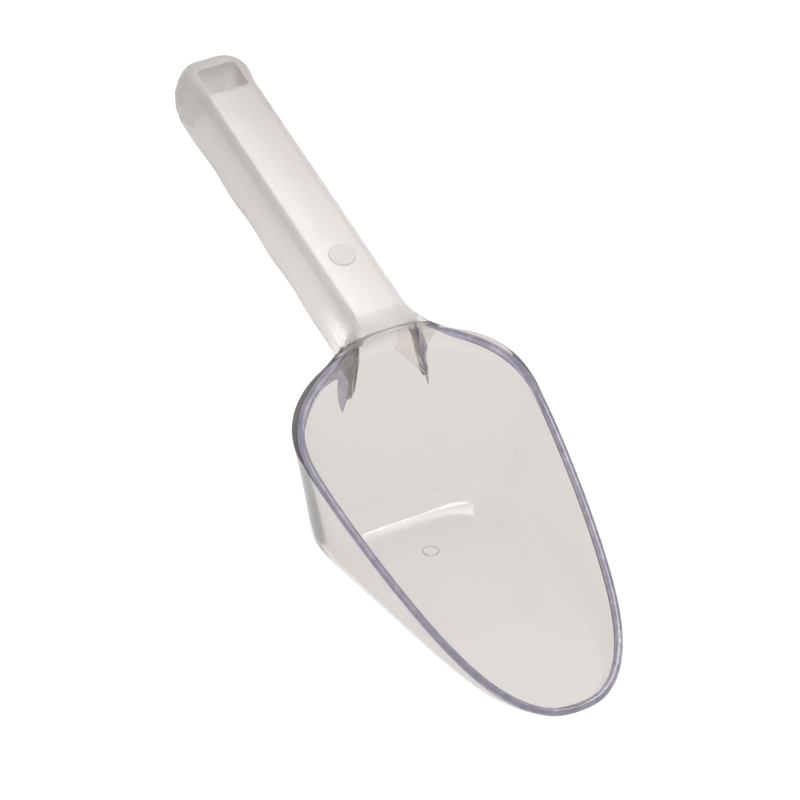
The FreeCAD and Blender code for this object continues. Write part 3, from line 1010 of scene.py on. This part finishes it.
@dataclass
class NeckRib:
    """A leaf-shaped rib behind the back wall, where a side of the handle runs out into the bowl; its
    blue-violet edge finish is painted shade with painted highlights.
    """

    form: BowlForm
    material: bpy.types.Material
    side: Side
    top_z: float = 64.5
    low_z: float = 40.0
    top_y: float = 8.9
    low_y: float = 14.6
    reach: float = 4.6  # width of the leaf, across its middle
    thick: float = 1.1
    lean_back: float = 4.2
    bite: float = 0.4
    slant: float = 0.707  # sine and cosine of the leaf's turn, 45 degrees
    rows: int = 28
    around: int = 14

    def build(self) -> bpy.types.Object:
        """Build the rib and put it in place of its CAD node.

        Returns:
            The rib.
        """
        points: list[Point] = []
        for row in range(self.rows + 1):
            t = row / self.rows
            z = self.top_z + (self.low_z - self.top_z) * t
            y = self.top_y + (self.low_y - self.top_y) * t ** 1.3
            belly = math.sin(math.pi * min(max(t, 0.004), 0.996))
            wide, thin = self.reach / 2.0 * belly ** 0.7, self.thick / 2.0 * belly ** 0.5
            x = self.form.back(z, self.form.skin) - self.bite - wide * self.slant - self.lean_back * t
            for k in range(self.around):
                turn = 2 * math.pi * k / self.around
                along, over = wide * math.cos(turn), thin * math.sin(turn)
                dx, dy = self.slant * (along + over), self.slant * (over - along)
                points.append(place(x + dx, self.side.value * (y + wide * self.slant + dy), z))
        faces: list[Sequence[int]] = grid_faces(self.rows + 1, self.around, closed=True)
        faces.append(tuple(range(self.around)))
        faces.append(tuple(range(self.rows * self.around, (self.rows + 1) * self.around)))
        name = self.side.name.lower()
        rib = make_piece("neck_rib_" + name, points, faces, self.material, sharp_deg=80.0)
        deliver(rib, ["gusset_" + name])
        return rib


@dataclass
class MouldMark:
    """A round mark left in the moulding: a low disc, or only its rim."""

    name: str
    node: str
    slot: str
    radius: float
    height: float
    material: bpy.types.Material
    frame: Callable[[float, float, float], Point]
    along: float
    level: float = 0.0
    ring: bool = False
    around: int = 64

    def build(self) -> bpy.types.Object:
        """Build the mark and put it in place of its CAD node.

        Returns:
            The mark.
        """
        radius, height = self.radius, self.height
        line = [(radius - 0.35, 0.01), (radius, 0.01), (radius, 0.3 * height), (radius - 0.12, 0.8 * height),
                (radius - 0.35, height), (radius - 0.8, 0.75 * height), (radius * 0.5, 0.7 * height)]
        if self.ring:
            line = line[:5] + line[:1]
        turns = [2 * math.pi * k / self.around for k in range(self.around)]
        points = [self.frame(self.along + r * math.cos(turn), r * math.sin(turn), self.level + h)
                  for r, h in line for turn in turns]
        faces: list[Sequence[int]] = grid_faces(len(line), self.around, closed=True)
        if not self.ring:
            faces.append(tuple(range(self.around)))
            faces.append(tuple(range((len(line) - 1) * self.around, len(line) * self.around)))
        mark = make_piece(self.name, points, faces, self.material)
        deliver(mark, [self.node])
        return mark


# ---------------------------------------------------------------- surroundings


@dataclass
class Studio:
    """Pale floor, soft lights and the camera."""

    aim: Point = (2.25, 0.0, 22.917)
    azimuth_deg: float = 60.585
    elevation_deg: float = 35.187
    distance: float = 1661.8
    lens: float = 256.2
    shift: tuple[float, float] = (0.0151, 0.0620)

    def floor(self) -> None:
        """Lay a large white floor that glows a little, as on a light table."""
        mesh = bpy.data.meshes.new("studio_floor")
        reach, level = 6.0, -0.4 * MM
        corners = [(x * reach, y * reach, level) for x, y in ((-1, -1), (1, -1), (1, 1), (-1, 1))]
        mesh.from_pydata(corners, [], [(0, 1, 2, 3)])
        material = bpy.data.materials.new("white matt acrylic, back-lit")
        material.use_nodes = True
        shader = material.node_tree.nodes["Principled BSDF"]
        shader.inputs["Base Color"].default_value = linear("3F3F3F")
        shader.inputs["Roughness"].default_value = 0.9
        shader.inputs["Specular IOR Level"].default_value = 0.0
        shader.inputs["Emission Color"].default_value = linear("FFFFFF")
        shader.inputs["Emission Strength"].default_value = 1.0
        mesh.materials.append(material)
        floor = bpy.data.objects.new("studio_floor", mesh)
        bpy.context.scene.collection.objects.link(floor)

    def light(self, name: str, where: Point, size: float, power: float, colour: str) -> None:
        """Hang one square soft light, facing the scoop.

        Args:
            name: its name.
            where: place in metres.
            size: edge in metres.
            power: watts.
            colour: sRGB hex.
        """
        data = bpy.data.lights.new(name, "AREA")
        data.size = size
        data.energy = power
        data.color = linear(colour)[:3]
        lamp = bpy.data.objects.new(name, data)
        lamp.location = where
        lamp.rotation_euler = (Vector((0.02, 0.0, 0.03)) - Vector(where)).to_track_quat("-Z", "Y").to_euler()
        bpy.context.scene.collection.objects.link(lamp)

    def sky(self) -> None:
        """Surround the scene with even, slightly cool white light."""
        world = bpy.data.worlds.new("soft tent")
        world.use_nodes = True
        back = world.node_tree.nodes["Background"]
        back.inputs["Color"].default_value = linear("F4F3F6")
        back.inputs["Strength"].default_value = 0.72
        bpy.context.scene.world = world

    def camera(self) -> None:
        """Set up the camera at the viewing angle."""
        azimuth, elevation = math.radians(self.azimuth_deg), math.radians(self.elevation_deg)
        back = Vector((math.sin(azimuth) * math.cos(elevation), -math.cos(azimuth) * math.cos(elevation),
                       math.sin(elevation)))
        data = bpy.data.cameras.new("camera")
        data.lens = self.lens
        data.sensor_width = 36.0
        data.shift_x, data.shift_y = self.shift
        data.clip_end = 20.0
        eye = bpy.data.objects.new("camera", data)
        eye.location = (Vector(self.aim) + back * self.distance) * MM
        eye.rotation_euler = back.to_track_quat("Z", "Y").to_euler()
        bpy.context.scene.collection.objects.link(eye)
        bpy.context.scene.camera = eye

    def build(self) -> None:
        """Set up floor, sky, lights and camera."""
        self.floor()
        self.sky()
        self.light("overhead softbox", (-0.25, 0.30, 1.1), 0.7, 8.0, "FFFDFA")
        self.light("left softbox", (0.3, -1.1, 0.6), 0.6, 0.4, "FFFFFF")
        self.camera()
        bpy.context.scene.view_settings.view_transform = "Standard"


def main() -> None:
    """Build every piece in order."""
    logging.basicConfig(level=logging.INFO, format="%(message)s")
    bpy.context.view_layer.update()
    finishes = Finishes()
    form = BowlForm()
    BowlShell(form, finishes.clear).build()
    # the lip takes the edge finish: painted shade with painted highlights
    MouthLip(form, finishes.edge).build()
    handle = Handle(form, finishes.frosted)
    handle.build()
    for side in Side:
        # the ribs take the edge finish, whose blue-violet is painted shade with painted highlights
        NeckRib(form, finishes.edge, side).build()
    MouldMark("handle_round_mark", "handle_disc", "frosted_polycarbonate", 4.0, 0.25, finishes.frosted,
              handle.world, along=28.2).build()
    MouldMark("floor_round_mark", "floor_disc", "clear_polycarbonate", 2.5, 0.1, finishes.clear,
              place, along=25.3, level=form.skin, ring=True).build()
    Studio().build()


if __name__ == "__main__":
    main()
